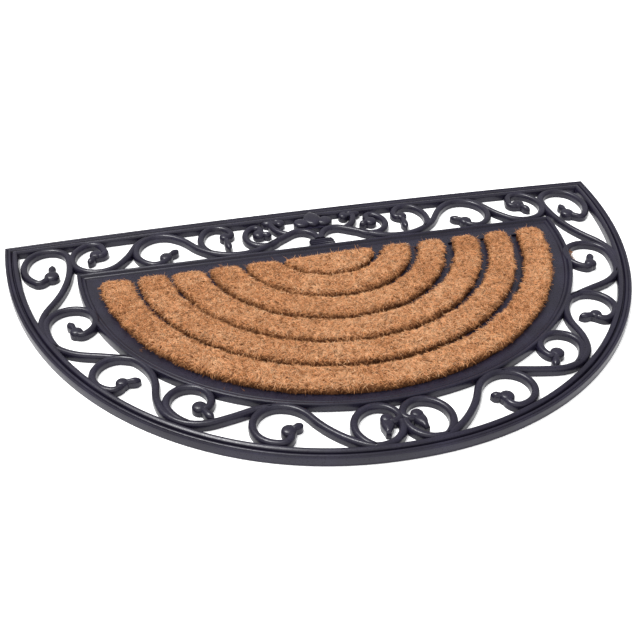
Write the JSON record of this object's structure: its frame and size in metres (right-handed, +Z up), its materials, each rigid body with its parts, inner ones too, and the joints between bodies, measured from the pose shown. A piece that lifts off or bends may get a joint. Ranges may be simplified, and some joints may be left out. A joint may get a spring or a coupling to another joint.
{
  "type": "half round doormat",
  "caption": "Half round doormat: a moulded rubber surround with open scrollwork and a tray that holds concentric half rings of coir brush",
  "frame": {"origin": "middle of the bounding box, on the flat underside", "axes": "X runs along the back edge, +Y points at the back edge, +Z is up out of the pile"},
  "size_m": [0.75, 0.459, 0.015],
  "materials": {
    "rubber": "moulded charcoal rubber, satin",
    "coir": "natural coir brush pile, matt"
  },
  "bodies": {
    "root": {"rubber_surround": "rubber", "coir_centre": "coir", "coir_bar_1": "coir", "coir_bar_2": "coir", "coir_bar_3": "coir", "coir_bar_4": "coir", "coir_bar_5": "coir"}
  },
  "joints": []
}
